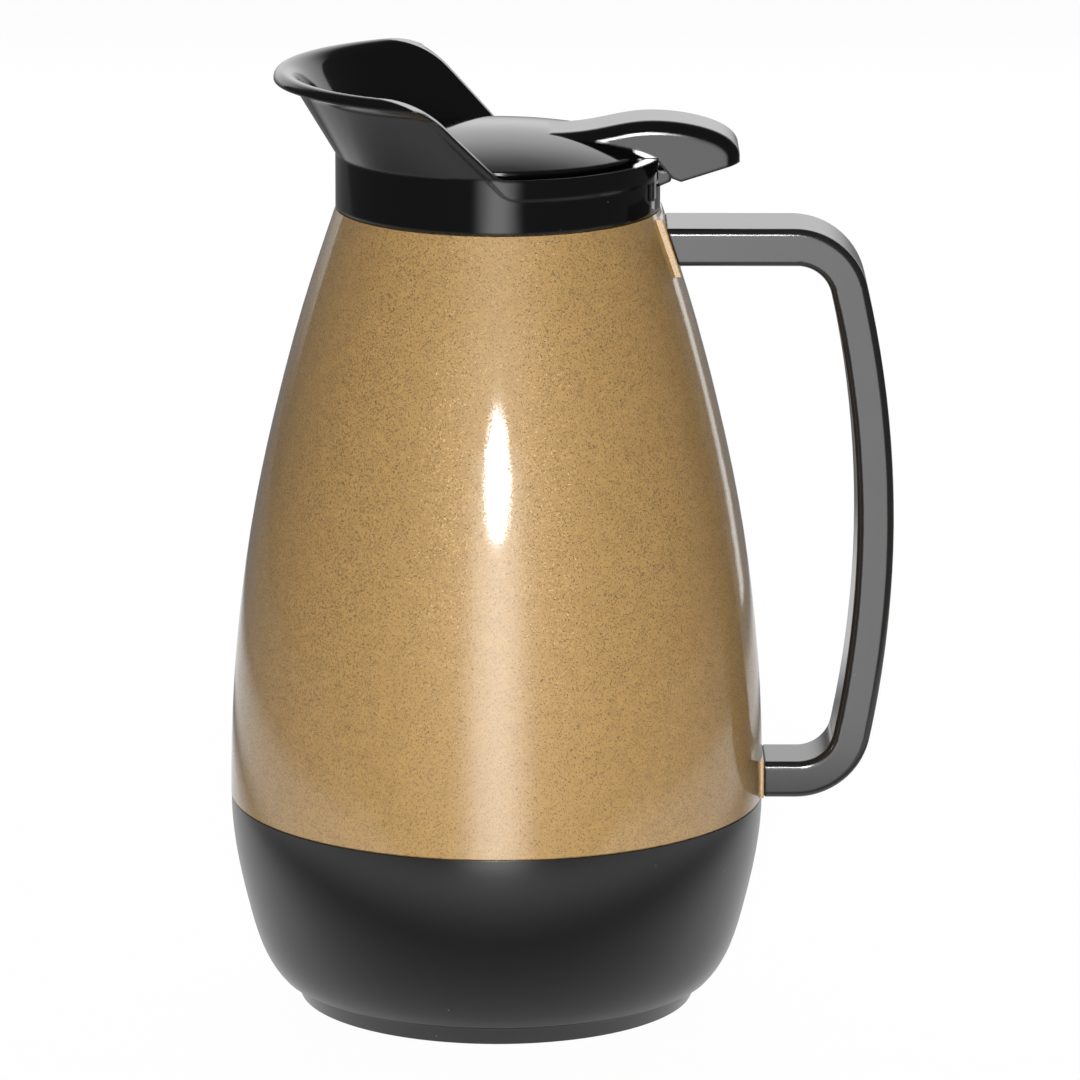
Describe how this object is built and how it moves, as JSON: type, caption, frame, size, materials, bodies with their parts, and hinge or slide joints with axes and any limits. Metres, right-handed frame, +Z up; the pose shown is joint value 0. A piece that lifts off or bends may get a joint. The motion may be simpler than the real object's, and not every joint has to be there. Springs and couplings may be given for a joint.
{
  "type": "thermal carafe",
  "caption": "Insulated serving carafe with a flared screw-on pour head, a thumb-lever flip lid and a bowed side handle, standing on a dark base cup.",
  "frame": {"origin": "centre of the foot ring, on the table", "axes": "+Z up through the middle of the body, +X towards the handle, -X towards the spout"},
  "size_m": [0.1688, 0.1364, 0.2406],
  "materials": {
    "gold_paint": "warm gold metallic paint with fine flecks under a gloss clear coat",
    "charcoal_plastic": "charcoal, satin to gloss, smooth moulded",
    "black_plastic": "black, high gloss moulded",
    "liner_plastic": "food-grade off-white, smooth",
    "foam": "rigid poured insulation foam, fine pores",
    "silicone": "grey food-grade silicone, matt",
    "steel": "bright stainless steel"
  },
  "bodies": {
    "body": {"base_cup": "charcoal_plastic", "base_plug": "charcoal_plastic", "outer_shell": "gold_paint", "liner": "liner_plastic", "liner_support": "black_plastic", "neck_seal": "silicone", "foam_insulation": "foam", "handle": "black_plastic", "handle_screws": "steel", "screw_washers": "steel"},
    "seal_carrier": {"head_gasket": "silicone"},
    "head": {"pour_head": "black_plastic", "hinge_pin": "steel"},
    "lid": {"lid": "black_plastic", "lid_plug": "black_plastic", "lid_seal": "silicone"}
  },
  "joints": [
    {"name": "head_rise", "type": "slide", "parent": "body", "child": "seal_carrier", "axis": [0, 0, 1], "range_m": [0, 0.0101]},
    {"name": "head_turn", "type": "hinge", "parent": "seal_carrier", "child": "head", "pos_m": [0, 0, 0.2], "axis": [0, 0, 1], "range_deg": [0, 450]},
    {"name": "lid_hinge", "type": "hinge", "parent": "head", "child": "lid", "pos_m": [0.0364, 0, 0.216], "axis": [0, 1, 0], "range_deg": [0, 40]}
  ],
  "couplings": [
    {"joint": "head_rise", "follows": "head_turn", "m_per_rad": 0.001273}
  ]
}
